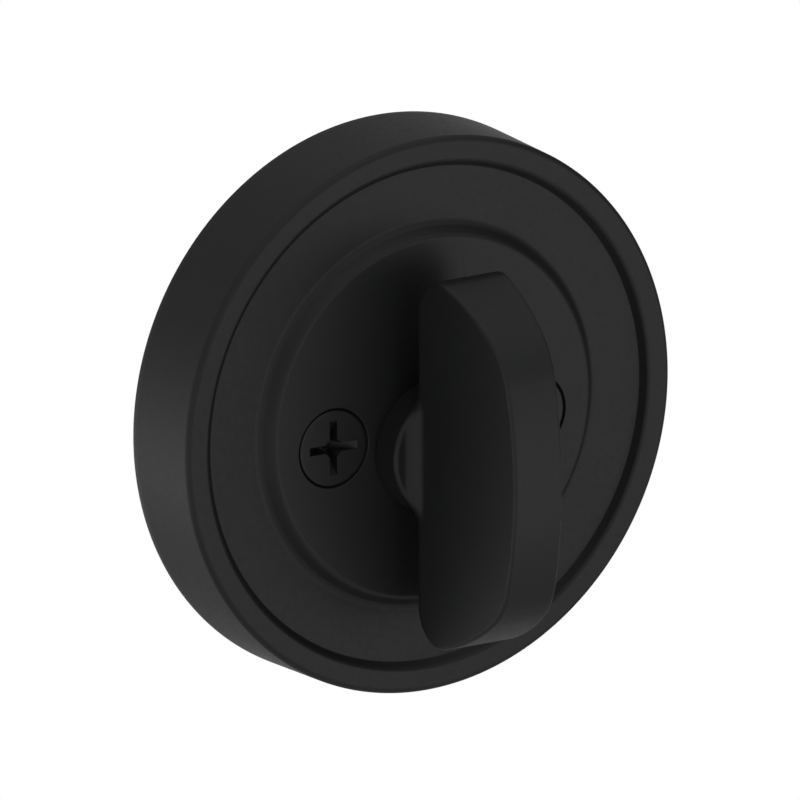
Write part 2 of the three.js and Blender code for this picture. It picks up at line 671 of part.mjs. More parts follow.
// ---- Everything in its place ----
const trim = new THREE.Group();
trim.add(roseCover(), mountingPlate(), doorGasket());
for (const side of Object.keys(PLATE_SCREWS)) trim.add(plateScrew(side));
for (const side of ["left", "right"]) trim.add(screwSet(side));

const onSpindle = new THREE.Group();
onSpindle.position.z = -SPINDLE_DROP;
onSpindle.add(thumbTurn(), spindle(), spindlePin(), spindleBush(), hubWasher(), waveWasher());
onSpindle.add(flatWasher(), retainingRing(), detentCam());
for (const [side, direction] of [["left", -1], ["right", 1]]) {
  onSpindle.add(detentSpring(side, direction), springRivet(side, direction));
}
trim.add(onSpindle);

export default trim;
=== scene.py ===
# Interior trim of a deadbolt: a black painted rose and thumb turn, its screws, and what sits behind them.
# Lengths in this script are millimetres, and MM turns them into Blender's metres.
# The frame's +Z is up, -Y faces the room and +Y goes into the door.
import math

import bmesh
import bpy
import numpy as np
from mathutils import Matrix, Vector


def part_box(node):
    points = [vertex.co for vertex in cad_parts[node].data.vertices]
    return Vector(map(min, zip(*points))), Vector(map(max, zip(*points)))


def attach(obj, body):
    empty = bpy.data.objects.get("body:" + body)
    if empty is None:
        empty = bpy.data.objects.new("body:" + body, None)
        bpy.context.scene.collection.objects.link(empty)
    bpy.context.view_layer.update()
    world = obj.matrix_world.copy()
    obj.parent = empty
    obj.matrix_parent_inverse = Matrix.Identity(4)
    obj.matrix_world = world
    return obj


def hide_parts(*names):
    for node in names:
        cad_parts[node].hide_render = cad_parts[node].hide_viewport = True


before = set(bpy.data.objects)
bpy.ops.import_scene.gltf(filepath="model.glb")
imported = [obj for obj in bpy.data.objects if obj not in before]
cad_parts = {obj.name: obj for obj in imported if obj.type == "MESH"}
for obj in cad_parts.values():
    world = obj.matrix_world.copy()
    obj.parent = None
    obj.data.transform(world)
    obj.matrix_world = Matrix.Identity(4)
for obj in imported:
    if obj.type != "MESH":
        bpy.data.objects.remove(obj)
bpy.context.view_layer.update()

MM = 0.001
SAME_PLACE = 1e-6  # metres; vertices closer than this are one
SAME_ANGLE = 1e-6  # radians

# ---- Places that the frame gives ----


def box(node):
    """A node's lowest and highest corners in millimetres."""
    low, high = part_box(node)
    return Vector(low) / MM, Vector(high) / MM


def centre(node):
    """X and Z of the middle of a node."""
    low, high = box(node)
    return (low.x + high.x) / 2, (low.z + high.z) / 2


ROSE_LOW, ROSE_HIGH = box("rose_cover")
AXIS = centre("spindle_bush")
SCREWS = {side: centre("mounting_screw_" + side) for side in ("left", "right")}
PLATE_SCREWS = {side: centre("plate_screw_" + side) for side in ("top", "left", "right")}
RIVETS = {side: centre("spring_rivet_" + side) for side in ("left", "right")}

# ---- Shape of the rose ----
ROSE_RADIUS = ROSE_HIGH.x
ROSE_DRAFT = 0.25  # how much narrower the rim is than the edge on the door
ROSE_WALL = 2.0
RIM_Y = -11.25  # front of the raised rim
RIM_EDGE = 0.75  # radius of its outer edge
RIM_WIDTH = 2.5
RIM_ROUND = 0.8  # radius where the rim turns down to the field
RIM_SLOPE = 53.5  # degrees
FIELD_DROP = 1.0  # rim to field
FIELD_Y = RIM_Y + FIELD_DROP
DISC_Y = ROSE_LOW.y
DISC_RADIUS = 21.1
STEP_SLOPE = 55.0  # degrees
STEP_SHOULDER = 0.8  # radius where the disc turns down to the step
STEP_FOOT = 1.2  # radius of the hollow where the step meets the field
BACK_EDGE = 0.08
SCREW_HEAD = 4.55  # radius
SCREW_CORE = 2.4  # radius over the thread
SCREW_EDGE = 0.35  # plain edge of the head, in front of its cone
SCREW_SUNK = 0.05  # face of the head below the disc

# ---- Shape of the thumb turn ----
TURN_LOW, TURN_HIGH = box("thumb_turn")
TURN_BACK = 15.95  # the door to the paddle's back edge
TURN_FRONT = -TURN_LOW.y
TURN_THICKNESS = 9.8  # at the back edge
TURN_TAPER = math.radians(5.1)
FRONT_ARC, FRONT_ANGLE = 50.0, math.radians(14.1)
SHOULDER_ARC, SHOULDER_ANGLE = 9.4, math.radians(52)
END_ARC = 27.0
BACK_CORNER = 4.2
HUB_BASE_RADIUS = 7.8
HUB_RIM_RADIUS = 7.7
HUB_EDGE = 0.45
HUB_BLEND = 1.8  # radius of the hollow fillets where the hub meets the paddle
SIDE_EDGE = 0.38  # radius of the paddle's side edges
BACK_EDGE_RADIUS = 0.9
HUB_CLEARANCE = 0.02  # hub to rose
SHANK_RADIUS = 4.5
SHANK_FLAT = 3.6
GROOVE_RADIUS = 3.8
SLOT_DEPTH = 9.0  # socket for the spindle, from the shank's end
SLOT_HALF_THICKNESS = 1.35
SLOT_HALF_WIDTH = 3.35
PIN_HOLE = 1.05

# ---- Clearances ----
RUNNING = 0.15  # radial, between a turning piece and its bore
SLIP = 0.2  # radial, between a fixed piece and its hole
GAP = 0.3  # between faces that rest on each other
PAST = 1.0  # how far a cutter reaches past the metal it cuts

# ---- Bosses and pieces behind the rose ----
HUB_WASHER = 0.6
HUB_WASHER_WIDTH = 1.6
BUSH_WALL = 1.4
BUSH_FLANGE = 0.8
BUSH_BOSS_WALL = 1.5
COUNTERSINK_WALL = 1.3  # metal around the countersink
SCREW_BOSS_LIP = 0.65  # metal behind its cone
PLATE_BORE = 5.1
PLATE_SCREW_HOLE = 1.45
PLATE_SCREW_BOSS = 2.85
PILOT_DEPTH = 4.1
GASKET_WIDTH = 2.6
WAVE_HEIGHT = 0.5
WAVES = 3
RING_MOUTH = math.radians(60)
CAM_CORNER = 1.4  # how far a corner of the cam stands out past its flats
SPRING_X = 5.8  # spindle's axis to the strip
SPRING_STRIP = 0.5
SPRING_HALF_LENGTH = 11.0
SPRING_ROLL = 1.1  # radius of the rolled end
SPRING_CURL = 290  # degrees that it is rolled through
SPRING_FOOT = 0.4
SPRING_FOOT_REACH = 5.9
SPRING_FOOT_LENGTH = 4.4
RIVET_HOLE = 1.1


# ---- Small tools for modelling ----


def deselected():
    if bpy.context.object and bpy.context.object.mode != "OBJECT":
        bpy.ops.object.mode_set(mode="OBJECT")
    bpy.ops.object.select_all(action="DESELECT")


def taken(piece):
    """Makes a piece the only selected and active object."""
    deselected()
    piece.select_set(True)
    bpy.context.view_layer.objects.active = piece
    return piece


def editing(piece):
    taken(piece)
    bpy.ops.object.mode_set(mode="EDIT")


def edited():
    bpy.ops.object.mode_set(mode="OBJECT")
    return bpy.context.object


def arc(x, y, radius, start, end, steps):
    """Points of an arc, both ends included, with angles in degrees."""
    turns = [math.radians(start + (end - start) * i / steps) for i in range(steps + 1)]
    return [(x + radius * math.cos(turn), y + radius * math.sin(turn)) for turn in turns]


def drawn(name, points):
    """A line drawn vertex by vertex: a plane is merged to its middle, then extruded from point to point."""
    deselected()
    first = Vector(points[0]) * MM
    bpy.ops.mesh.primitive_plane_add(size=MM, location=(0, 0, 0))
    piece = bpy.context.object
    piece.name = piece.data.name = name
    bpy.ops.object.mode_set(mode="EDIT")
    bpy.ops.mesh.merge(type="CENTER")
    bpy.ops.transform.translate(value=first)
    before = first
    for point in points[1:]:
        after = Vector(point) * MM
        bpy.ops.mesh.extrude_vertices_move(TRANSFORM_OT_translate={"value": after - before})
        before = after
    bpy.ops.mesh.select_all(action="SELECT")
    return piece


def closed_up():
    """Merges what lies together and turns the faces outwards. The mesh is in edit mode."""
    bpy.ops.mesh.select_all(action="SELECT")
    bpy.ops.mesh.remove_doubles(threshold=SAME_PLACE)
    bpy.ops.mesh.normals_make_consistent(inside=False)
    return edited()


def outwards(piece):
    """Turns every face round if the piece is inside out, as the sign of its volume tells."""
    mesh = bmesh.new()
    mesh.from_mesh(piece.data)
    if mesh.calc_volume(signed=True) < 0:
        piece.data.flip_normals()
    mesh.free()
    return piece


def turned(name, profile, sides, at=(0, 0), ring=False):
    """A profile of (radius, y) spun about an axis along Y through (x, z)."""
    x, z = at
    line = [(x + radius, y, z) for radius, y in profile]
    drawn(name, line + line[:1] if ring else line)
    bpy.ops.mesh.spin(
        steps=sides, angle=2 * math.pi, center=(x * MM, 0, z * MM), axis=(0, 1, 0), dupli=False
    )
    return closed_up()


def extruded(name, outline, depth):
    """A closed outline of (x, y, z) points filled and drawn out by depth."""
    drawn(name, outline + outline[:1])
    bpy.ops.mesh.remove_doubles(threshold=SAME_PLACE)
    bpy.ops.mesh.edge_face_add()
    bpy.ops.mesh.extrude_region_move(TRANSFORM_OT_translate={"value": Vector(depth) * MM})
    return closed_up()


def applied(piece, kind, **settings):
    """Adds a modifier with its settings and applies it."""
    taken(piece)
    modifier = piece.modifiers.new(kind.lower(), kind)
    for name, value in settings.items():
        setattr(modifier, name, value)
    bpy.ops.object.modifier_apply(modifier=modifier.name)
    return piece


def combined(piece, other, operation, solver="EXACT"):
    """Joins, cuts or keeps what is common with another piece, which is used up."""
    applied(piece, "BOOLEAN", operation=operation, object=other, solver=solver)
    bpy.data.objects.remove(other, do_unlink=True)
    return piece


def cut(piece, *cutters):
    for cutter in cutters:
        combined(piece, cutter, "DIFFERENCE")
    return piece


def joined(piece, *others):
    for other in others:
        combined(piece, other, "UNION")
    return piece


def bevelled(piece, width, segments=2, angle=35):
    return applied(
        piece,
        "BEVEL",
        width=width * MM,
        segments=segments,
        limit_method="ANGLE",
        angle_limit=math.radians(angle),
        use_clamp_overlap=True,
    )


def block(name, low, high):
    """A box between two corners."""
    deselected()
    low, high = Vector(low) * MM, Vector(high) * MM
    bpy.ops.mesh.primitive_cube_add(size=1, location=(low + high) / 2)
    piece = bpy.context.object
    piece.name = piece.data.name = name
    piece.scale = high - low
    bpy.ops.object.transform_apply(location=True, rotation=True, scale=True)
    return piece


def rod(name, radius, front, back, sides, at=(0, 0)):
    """A plain cylinder along Y, used to cut or to build on."""
    return turned(name, [(0, front), (radius, front), (radius, back), (0, back)], sides, at)


def smooth(piece, angle=30):
    taken(piece)
    bpy.ops.object.shade_smooth_by_angle(angle=math.radians(angle))
    return piece


def placed(piece, body, node, material):
    """The last step for each piece: its body, the CAD node it stands for and its material."""
    taken(piece)
    bpy.ops.object.transform_apply(location=True, rotation=True, scale=True)
    piece.data.materials.clear()
    piece.data.materials.append(material)
    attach(piece, body)
    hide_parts(node)
    return piece


# ---- Materials ----


def linear(hex_colour):
    """An sRGB colour such as "1c1e1e" as the linear colour that a shader takes."""
    parts = [int(hex_colour[i : i + 2], 16) / 255 for i in (0, 2, 4)]
    return tuple(c / 12.92 if c <= 0.04045 else ((c + 0.055) / 1.055) ** 2.4 for c in parts) + (1.0,)


def node(tree, kind, settings=None, **inputs):
    """Adds a node, sets its properties, and sets or links its inputs."""
    made = tree.nodes.new(kind)
    for name, value in (settings or {}).items():
        setattr(made, name, value)
    for name, value in inputs.items():
        socket = made.inputs[int(name[1:])] if name[0] == "_" else made.inputs[name.replace("_", " ")]
        if isinstance(value, bpy.types.NodeSocket):
            tree.links.new(value, socket)
        else:
            socket.default_value = value
    return made


def material(name, **shader):
    """A new material with a Principled shader. Returns the material, its node tree and the shader node."""
    made = bpy.data.materials.new(name)
    made.use_nodes = True
    tree = made.node_tree
    bsdf = tree.nodes["Principled BSDF"]
    for key, value in shader.items():
        bsdf.inputs[key.replace("_", " ")].default_value = value
    return made, tree, bsdf


def object_place(tree):
    return tree.nodes.new("ShaderNodeTexCoord").outputs["Object"]


def per_metre(size_mm):
    """The scale of a noise or Voronoi texture whose cells are about size_mm across."""
    return 1 / (size_mm * MM)


def ramp(tree, value, stops):
    made = node(tree, "ShaderNodeValToRGB", Fac=value)
    colours = made.color_ramp.elements
    colours[0].position, colours[0].color = stops[0]
    colours[1].position, colours[1].color = stops[-1]
    for place, colour in stops[1:-1]:
        colours.new(place).color = colour
    return made.outputs["Color"]


def grey(value):
    return (value, value, value, 1.0)


def greys(first, *between, last):
    """Stops of a ramp from straight down, at 0, to straight up, at 1."""
    return [(0.0, grey(first)), *((place, grey(value)) for place, value in between), (1.0, grey(last))]


def painted(name, colour, light, roughness, specular, grain):
    """Baked matt enamel on a zinc die casting: an even black with the faint orange peel of sprayed paint."""
    made, tree, bsdf = material(name, Specular_IOR_Level=specular)
    place = object_place(tree)
    cloud = node(tree, "ShaderNodeTexNoise", Vector=place, Scale=per_metre(9), Detail=3.0)
    shade = ramp(tree, cloud.outputs["Fac"], [(0.3, linear(colour)), (0.7, linear(light))])
    tree.links.new(shade, bsdf.inputs["Base Color"])
    speck = node(tree, "ShaderNodeTexNoise", Vector=place, Scale=per_metre(0.5), Detail=2.0)
    gloss = ramp(
        tree,
        speck.outputs["Fac"],
        [(0.3, grey(roughness - 0.04)), (0.7, grey(roughness + 0.04))],
    )
    tree.links.new(gloss, bsdf.inputs["Roughness"])
    peel = node(tree, "ShaderNodeTexNoise", Vector=place, Scale=per_metre(grain), Detail=2.0)
    bump = node(tree, "ShaderNodeBump", Height=peel.outputs["Fac"], Strength=0.05, Distance=0.02 * MM)
    tree.links.new(bump.outputs["Normal"], bsdf.inputs["Normal"])
    return made


# Matt black enamel on the rose and turn: near black, soft wide highlights, barely visible grain.
PAINT = painted("matt_black_enamel", "1f2020", "222323", 0.42, 0.5, 0.35)
# Finish of the mounting screws: the same black with a closer grain, slightly glossier.
SCREW_PAINT = painted("black_screw_finish", "1e1f1f", "232424", 0.38, 0.5, 0.25)


def metal(name, colour, light, roughness, spread, cell, streak):
    """A bare or plated metal: two shades in soft clouds, and fine scratches drawn out by streak."""
    made, tree, bsdf = material(name, Metallic=1.0)
    place = object_place(tree)
    cloud = node(tree, "ShaderNodeTexNoise", Vector=place, Scale=per_metre(cell), Detail=3.0)
    shade = ramp(tree, cloud.outputs["Fac"], [(0.3, linear(colour)), (0.7, linear(light))])
    tree.links.new(shade, bsdf.inputs["Base Color"])
    drawn_out = node(tree, "ShaderNodeMapping", Vector=place, Scale=streak)
    scratch = node(
        tree, "ShaderNodeTexNoise", Vector=drawn_out.outputs["Vector"], Scale=per_metre(0.6), Detail=4.0
    )
    gloss = ramp(
        tree,
        scratch.outputs["Fac"],
        [(0.3, grey(roughness - spread)), (0.7, grey(roughness + spread))],
    )
    tree.links.new(gloss, bsdf.inputs["Roughness"])
    bump = node(tree, "ShaderNodeBump", Height=scratch.outputs["Fac"], Strength=0.08, Distance=0.01 * MM)
    tree.links.new(bump.outputs["Normal"], bsdf.inputs["Normal"])
    return made


def moulded(name, colour, light, roughness, grain, depth):
    """A moulded or foamed plastic: an even body colour and a fine skin texture."""
    made, tree, bsdf = material(name, Specular_IOR_Level=0.5)
    place = object_place(tree)
    cloud = node(tree, "ShaderNodeTexNoise", Vector=place, Scale=per_metre(4), Detail=2.0)
    shade = ramp(tree, cloud.outputs["Fac"], [(0.3, linear(colour)), (0.7, linear(light))])
    tree.links.new(shade, bsdf.inputs["Base Color"])
    skin = node(tree, "ShaderNodeTexVoronoi", Vector=place, Scale=per_metre(grain))
    gloss = ramp(
        tree, skin.outputs["Distance"], [(0.0, grey(roughness)), (1.0, grey(min(roughness + 0.1, 1.0)))]
    )
    tree.links.new(gloss, bsdf.inputs["Roughness"])
    bump = node(tree, "ShaderNodeBump", Height=skin.outputs["Distance"], Strength=0.3, Distance=depth * MM)
    tree.links.new(bump.outputs["Normal"], bsdf.inputs["Normal"])
    return made


# Bright zinc electroplate on stamped steel: pale blue-grey, slightly clouded, satin.
ZINC = metal("bright_zinc_plate", "9ea6ac", "b4bbc0", 0.34, 0.06, 5, (1, 1, 1))
# Blued spring strip: dark steel with rolling lines along its length.
SPRING = metal("blued_spring_steel", "5d646b", "757b80", 0.3, 0.05, 4, (6, 6, 1))
# Rolled and blanked brass: warm yellow, faint rolling lines across X.
BRASS = metal("rolled_brass", "b08f50", "c4a468", 0.3, 0.05, 3, (1, 6, 6))
# Natural nylon: warm white with a soft waxy gloss.
NYLON = moulded("natural_nylon", "d8d5ca", "e2dfd6", 0.45, 0.4, 0.004)
# Black acetal: dark and slightly glossy from the mould.
ACETAL = moulded("black_acetal", "252627", "2b2c2d", 0.36, 0.5, 0.003)
# Closed-cell foam: almost black, matt, with small open cells on its cut skin.
FOAM = moulded("closed_cell_foam", "1f2022", "2a2b2d", 0.88, 0.35, 0.08)


# ---- Rose ----


def rose_profile():
    front = ROSE_RADIUS - ROSE_DRAFT
    rim_inner = front - RIM_WIDTH
    slope = math.radians(RIM_SLOPE)
    wall = FIELD_DROP - RIM_ROUND * (1 - math.cos(slope))
    rim_foot = rim_inner - RIM_ROUND * math.sin(slope) - wall / math.tan(slope)
    slope = math.radians(STEP_SLOPE)
    arcs = STEP_SHOULDER + STEP_FOOT
    straight = FIELD_Y - DISC_Y - arcs * (1 - math.cos(slope))
    step_foot = DISC_RADIUS + arcs * math.sin(slope) + straight / math.tan(slope)
    near = 0.12  # support rings this close to each round keep the flats flat
    hollow = 0.15  # radius in the corner at the foot of the rim
    bore = ROSE_RADIUS - ROSE_WALL
    inner_field, inner_disc = FIELD_Y + ROSE_WALL, DISC_Y + ROSE_WALL
    corner = hollow * math.tan(math.radians(RIM_SLOPE) / 2)
    outside = [
        *arc(ROSE_RADIUS - BACK_EDGE, -BACK_EDGE, BACK_EDGE, 90, 0, 3),
        (ROSE_RADIUS - ROSE_DRAFT * 0.06, -1.0),
        (front, RIM_Y + RIM_EDGE + near),
        *arc(front - RIM_EDGE, RIM_Y + RIM_EDGE, RIM_EDGE, 0, -90, 10),
        (front - RIM_EDGE - near, RIM_Y),
        (rim_inner + near, RIM_Y),
        *arc(rim_inner, RIM_Y + RIM_ROUND, RIM_ROUND, -90, -90 - RIM_SLOPE, 10),
        *arc(rim_foot - corner, FIELD_Y - hollow, hollow, 90 - RIM_SLOPE, 90, 4),
    ]
    step = [
        (rim_foot - corner - near, FIELD_Y),
        (step_foot + near, FIELD_Y),
        *arc(step_foot, FIELD_Y - STEP_FOOT, STEP_FOOT, 90, 90 + STEP_SLOPE, 10),
        *arc(DISC_RADIUS, DISC_Y + STEP_SHOULDER, STEP_SHOULDER, -90 + STEP_SLOPE, -90, 10),
        (DISC_RADIUS - near, DISC_Y),
        (0, DISC_Y),
    ]
    inside = [
        (0, inner_disc),
        (DISC_RADIUS - ROSE_WALL, inner_disc),
        (step_foot - ROSE_WALL, inner_field),
        (bore - ROSE_WALL, inner_field),
        *arc(bore - ROSE_WALL, inner_field + ROSE_WALL, ROSE_WALL, -90, 0, 6)[1:],
        (bore, -BACK_EDGE),
        (bore + BACK_EDGE, 0),
    ]
    return outside + step + inside


def boss(radius, front, floor, back, at):
    """A boss on the inside of the rose, with a fillet where it leaves the floor and an eased end."""
    fillet, eased = 0.6, 0.15
    profile = [
        (0, front),
        (radius + fillet, front),
        *arc(radius + fillet, floor + fillet, fillet, -90, -180, 6),
        *arc(radius - eased, back - eased, eased, 0, 90, 3),
        (0, back),
    ]
    return turned("boss", profile, 64, at)


def rose_cover():
    rose = turned("rose", rose_profile(), 256, ring=True)
    cone_back = DISC_Y + SCREW_EDGE + SCREW_HEAD - SCREW_CORE
    boss_back = cone_back + SCREW_BOSS_LIP
    washer_seat = SHANK_RADIUS + RUNNING + HUB_WASHER_WIDTH + SLIP
    bush_seat = SHANK_RADIUS + RUNNING + BUSH_WALL + SLIP
    bush_back = box("spindle_bush")[1].y - BUSH_FLANGE - GAP
    plate_front = box("mounting_plate")[0].y
    inner_disc, inner_field = DISC_Y + ROSE_WALL, FIELD_Y + ROSE_WALL
    sunk = 0.8  # how deep a boss starts inside the wall it stands on
    joined(rose, boss(bush_seat + BUSH_BOSS_WALL, inner_disc - sunk, inner_disc, bush_back, AXIS))
    screw_boss = SCREW_HEAD + SLIP + COUNTERSINK_WALL
    for at in SCREWS.values():
        joined(rose, boss(screw_boss, inner_disc - sunk, inner_disc, boss_back, at))
    for at in PLATE_SCREWS.values():
        joined(rose, boss(PLATE_SCREW_BOSS, inner_field - sunk, inner_field, plate_front - GAP, at))
        cut(rose, rod("pilot", PLATE_SCREW_HOLE, plate_front - PILOT_DEPTH, plate_front + PAST, 32, at))
    head, hole, eased = SCREW_HEAD + SLIP, SCREW_CORE + SLIP, 0.06
    for at in SCREWS.values():
        profile = [
            (0, DISC_Y - PAST),
            (head + eased, DISC_Y - PAST),
            (head + eased, DISC_Y),
            (head, DISC_Y + eased),
            (head, DISC_Y + SCREW_EDGE),
            (hole, cone_back),
            (hole, boss_back + PAST),
            (0, boss_back + PAST),
        ]
        cut(rose, turned("countersink", profile, 96, at))
    floor = DISC_Y + HUB_WASHER + GAP
    profile = [
        (0, DISC_Y - PAST),
        (washer_seat, DISC_Y - PAST),
        (washer_seat, floor),
        (bush_seat, floor),
        (bush_seat, bush_back + PAST),
        (0, bush_back + PAST),
    ]
    cut(rose, turned("bore", profile, 96, AXIS))
    smooth(rose, 24)
    return placed(rose, "trim", "rose_cover", PAINT)


# ---- Thumb turn ----


def paddle_arcs():
    """Arcs of the D's upper half, seen from the side: centre, radius, start and end angle.

    The centre's first number is its distance from the door, the second its height above the spindle.
    """
    front = TURN_FRONT - FRONT_ARC
    a, b = FRONT_ANGLE, SHOULDER_ANGLE
    shoulder = (front + (FRONT_ARC - SHOULDER_ARC) * math.cos(a), (FRONT_ARC - SHOULDER_ARC) * math.sin(a))
    end = (
        shoulder[0] + (SHOULDER_ARC - END_ARC) * math.cos(b),
        shoulder[1] + (SHOULDER_ARC - END_ARC) * math.sin(b),
    )
    corner_x = TURN_BACK + BACK_CORNER
    reach = END_ARC - BACK_CORNER
    c = math.acos((corner_x - end[0]) / reach)
    corner = (corner_x, end[1] + reach * math.sin(c))
    return [
        ((front, 0.0), FRONT_ARC, 0.0, a),
        (shoulder, SHOULDER_ARC, a, b),
        (end, END_ARC, b, c),
        (corner, BACK_CORNER, c, math.pi),
    ]


def round_common(a, b, radius):
    """Distance to what two solids share, with the edge between them rounded."""
    u, v = np.maximum(radius + a, 0), np.maximum(radius + b, 0)
    return np.minimum(-radius, np.maximum(a, b)) + np.hypot(u, v)


def round_union(a, b, radius):
    """Distance to two solids together, with a hollow fillet where they meet."""
    u, v = np.maximum(radius - a, 0), np.maximum(radius - b, 0)
    return np.maximum(radius, np.minimum(a, b)) - np.hypot(u, v)


def paddle_outline_distance(out, up):
    """Distance from the D's outline, where out is the distance from the door and up is above the spindle."""
    up = np.abs(up)
    best = TURN_BACK - out
    found = np.where((up < paddle_arcs()[-1][0][1]), np.abs(best), np.inf)
    for (cx, cy), radius, start, end in paddle_arcs():
        angle = np.arctan2(up - cy, out - cx)
        angle = np.where(angle < -math.pi / 2, angle + 2 * math.pi, angle)
        distance = np.hypot(out - cx, up - cy) - radius
        inside = (angle >= start - SAME_ANGLE) & (angle <= end + SAME_ANGLE)
        nearer = inside & (np.abs(distance) < found)
        best = np.where(nearer, distance, best)
        found = np.where(nearer, np.abs(distance), found)
    return best


def head_distance(p):
    """Distance in millimetres from the surface of the hub and paddle, about the spindle's axis."""
    x, out, up = np.abs(p[:, 0]), -p[:, 1], p[:, 2]
    outline = paddle_outline_distance(out, up)
    side = (x - TURN_THICKNESS / 2 + (out - TURN_BACK) * math.tan(TURN_TAPER)) * math.cos(TURN_TAPER)
    near_back = np.clip((TURN_BACK + BACK_CORNER - out) / BACK_CORNER, 0, 1)
    edge = SIDE_EDGE + (BACK_EDGE_RADIUS - SIDE_EDGE) * near_back**2 * (3 - 2 * near_back)
    paddle = round_common(outline, side, edge)
    base = -DISC_Y + HUB_CLEARANCE
    lean = math.atan((HUB_BASE_RADIUS - HUB_RIM_RADIUS) / (TURN_BACK - base))
    wall = (np.hypot(x, up) - HUB_RIM_RADIUS - (TURN_BACK - out) * math.tan(lean)) * math.cos(lean)
    hub = round_common(wall, out - TURN_BACK, HUB_EDGE)
    both = round_union(paddle, hub, HUB_BLEND)
    return np.maximum(both, base - out)


def drawn_onto(piece, distance, origin, rounds=6):
    """Moves each vertex onto the surface where distance is nothing."""
    count = len(piece.data.vertices)
    flat = np.empty(count * 3, np.float32)
    piece.data.vertices.foreach_get("co", flat)
    places = flat.reshape(-1, 3).astype(float) / MM - origin
    step = 0.01
    for _ in range(rounds):
        here = distance(places)
        slope = np.stack(
            [(distance(places + d) - distance(places - d)) / (2 * step) for d in np.eye(3) * step], axis=1
        )
        length = np.maximum((slope**2).sum(axis=1), 0.2)
        places -= (np.clip(here, -0.5, 0.5) / length)[:, None] * slope
    piece.data.vertices.foreach_set("co", ((places + origin) * MM).astype(np.float32).ravel())
    piece.data.update()
    return piece


def thumb_turn_head():
    x, z = AXIS
    half = []
    for (cx, cy), radius, start, end in paddle_arcs():
        half += arc(cx, cy, radius, math.degrees(start), math.degrees(end), 16)[:-1]
    half.append((TURN_BACK, paddle_arcs()[-1][0][1]))
    outline = half + [(out, -up) for out, up in reversed(half)]
    thick = TURN_THICKNESS
    paddle = extruded("paddle", [(x - thick / 2, -out, z + up) for out, up in outline[:-1]], (thick, 0, 0))
    slimmer = math.tan(TURN_TAPER)
    for side in (-1, 1):
        editing(paddle)
        bpy.ops.mesh.select_all(action="SELECT")
        bpy.ops.mesh.bisect(
            plane_co=Vector((x + side * thick / 2, -TURN_BACK, z)) * MM,
            plane_no=(side, -slimmer, 0),
            use_fill=True,
            clear_outer=True,
        )
        closed_up()
    base = DISC_Y - HUB_CLEARANCE
    core = 3.0  # radius and length of the hub's core, inside the paddle
    profile = [
        (0, base),
        (HUB_BASE_RADIUS, base),
        (HUB_RIM_RADIUS, -TURN_BACK),
        (core, -TURN_BACK),
        (core, -TURN_BACK - core),
        (0, -TURN_BACK - core),
    ]
    joined(paddle, turned("hub", profile, 64, AXIS))
    voxel = 0.175
    applied(paddle, "REMESH", mode="VOXEL", voxel_size=voxel * MM, adaptivity=0.0)
    drawn_onto(paddle, head_distance, np.array([x, 0, z]))
    return paddle


def cross_hole(radius):
    """A cutter along X for the pin, through the spindle's axis. It is made along Y and turned."""
    low, high = box("spindle_pin")
    middle = (low + high) / 2
    hole = rod("hole", radius, -8, 8, 32)
    hole.rotation_mode = "XYZ"
    hole.rotation_euler = (0, 0, math.radians(90))
    hole.location = middle * MM
    taken(hole)
    bpy.ops.object.transform_apply(location=True, rotation=True, scale=True)
    return hole


def thumb_turn():
    head = thumb_turn_head()
    x, z = AXIS
    ring_low, ring_high = box("retaining_ring")
    end, eased = TURN_HIGH.y, 0.4
    start = DISC_Y - 1.5  # inside the hub
    profile = [
        (0, start),
        (SHANK_RADIUS, start),
        (SHANK_RADIUS, ring_low.y - GAP),
        (GROOVE_RADIUS, ring_low.y - GAP),
        (GROOVE_RADIUS, ring_high.y + GAP),
        (SHANK_RADIUS, ring_high.y + GAP),
        (SHANK_RADIUS, end - eased),
        (SHANK_RADIUS - eased, end),
        (0, end),
    ]
    shank = turned("shank", profile, 96, AXIS)
    beside = SHANK_RADIUS + PAST
    for side in (-1, 1):
        near, far = sorted((x + side * SHANK_FLAT, x + side * beside))
        cut(shank, block("flat", (near, ring_high.y, z - beside), (far, end + PAST, z + beside)))
    low = (x - SLOT_HALF_THICKNESS, end - SLOT_DEPTH, z - SLOT_HALF_WIDTH)
    high = (x + SLOT_HALF_THICKNESS, end + PAST, z + SLOT_HALF_WIDTH)
    cut(shank, block("slot", low, high), cross_hole(PIN_HOLE))
    combined(head, shank, "UNION", "MANIFOLD")
    head.name = "turn"
    smooth(head, 40)
    return placed(head, "turn", "thumb_turn", PAINT)


# ---- Screws ----


def threaded(piece, at, start, end, root, crest, pitch):
    """Cuts a thread by moving the rings between start and end in and out along a helix.

    A sixth of the pitch is crest and a sixth is root. The thread runs out at both ends.
    """
    x, z = at
    count = len(piece.data.vertices)
    flat = np.empty(count * 3, np.float32)
    piece.data.vertices.foreach_get("co", flat)
    places = flat.reshape(-1, 3).astype(float) / MM
    dx, dz = places[:, 0] - x, places[:, 2] - z
    radius = np.hypot(dx, dz)
    on = (np.abs(radius - crest) < 0.02) & (places[:, 1] > start) & (places[:, 1] < end)
    phase = (places[:, 1] / pitch + np.arctan2(dz, dx) / (2 * math.pi)) % 1
    tooth = np.clip(1.25 - np.abs(phase - 0.5) * 3, 0, 1)
    fade = np.clip(np.minimum(places[:, 1] - start, end - places[:, 1]) / pitch, 0, 1)
    new = crest - (crest - root) * (1 - tooth) * fade
    share = np.where(on, new / np.maximum(radius, 1e-9), 1.0)
    places[:, 0], places[:, 2] = x + dx * share, z + dz * share
    piece.data.vertices.foreach_set("co", (places * MM).astype(np.float32).ravel())
    piece.data.update()
    return piece


def thread_rings(radius, start, end, pitch):
    """Rings for the thread to be cut in, eight to a turn of it."""
    steps = max(2, round((end - start) / pitch * (8)))
    return [(radius, start + (end - start) * i / steps) for i in range(steps + 1)]


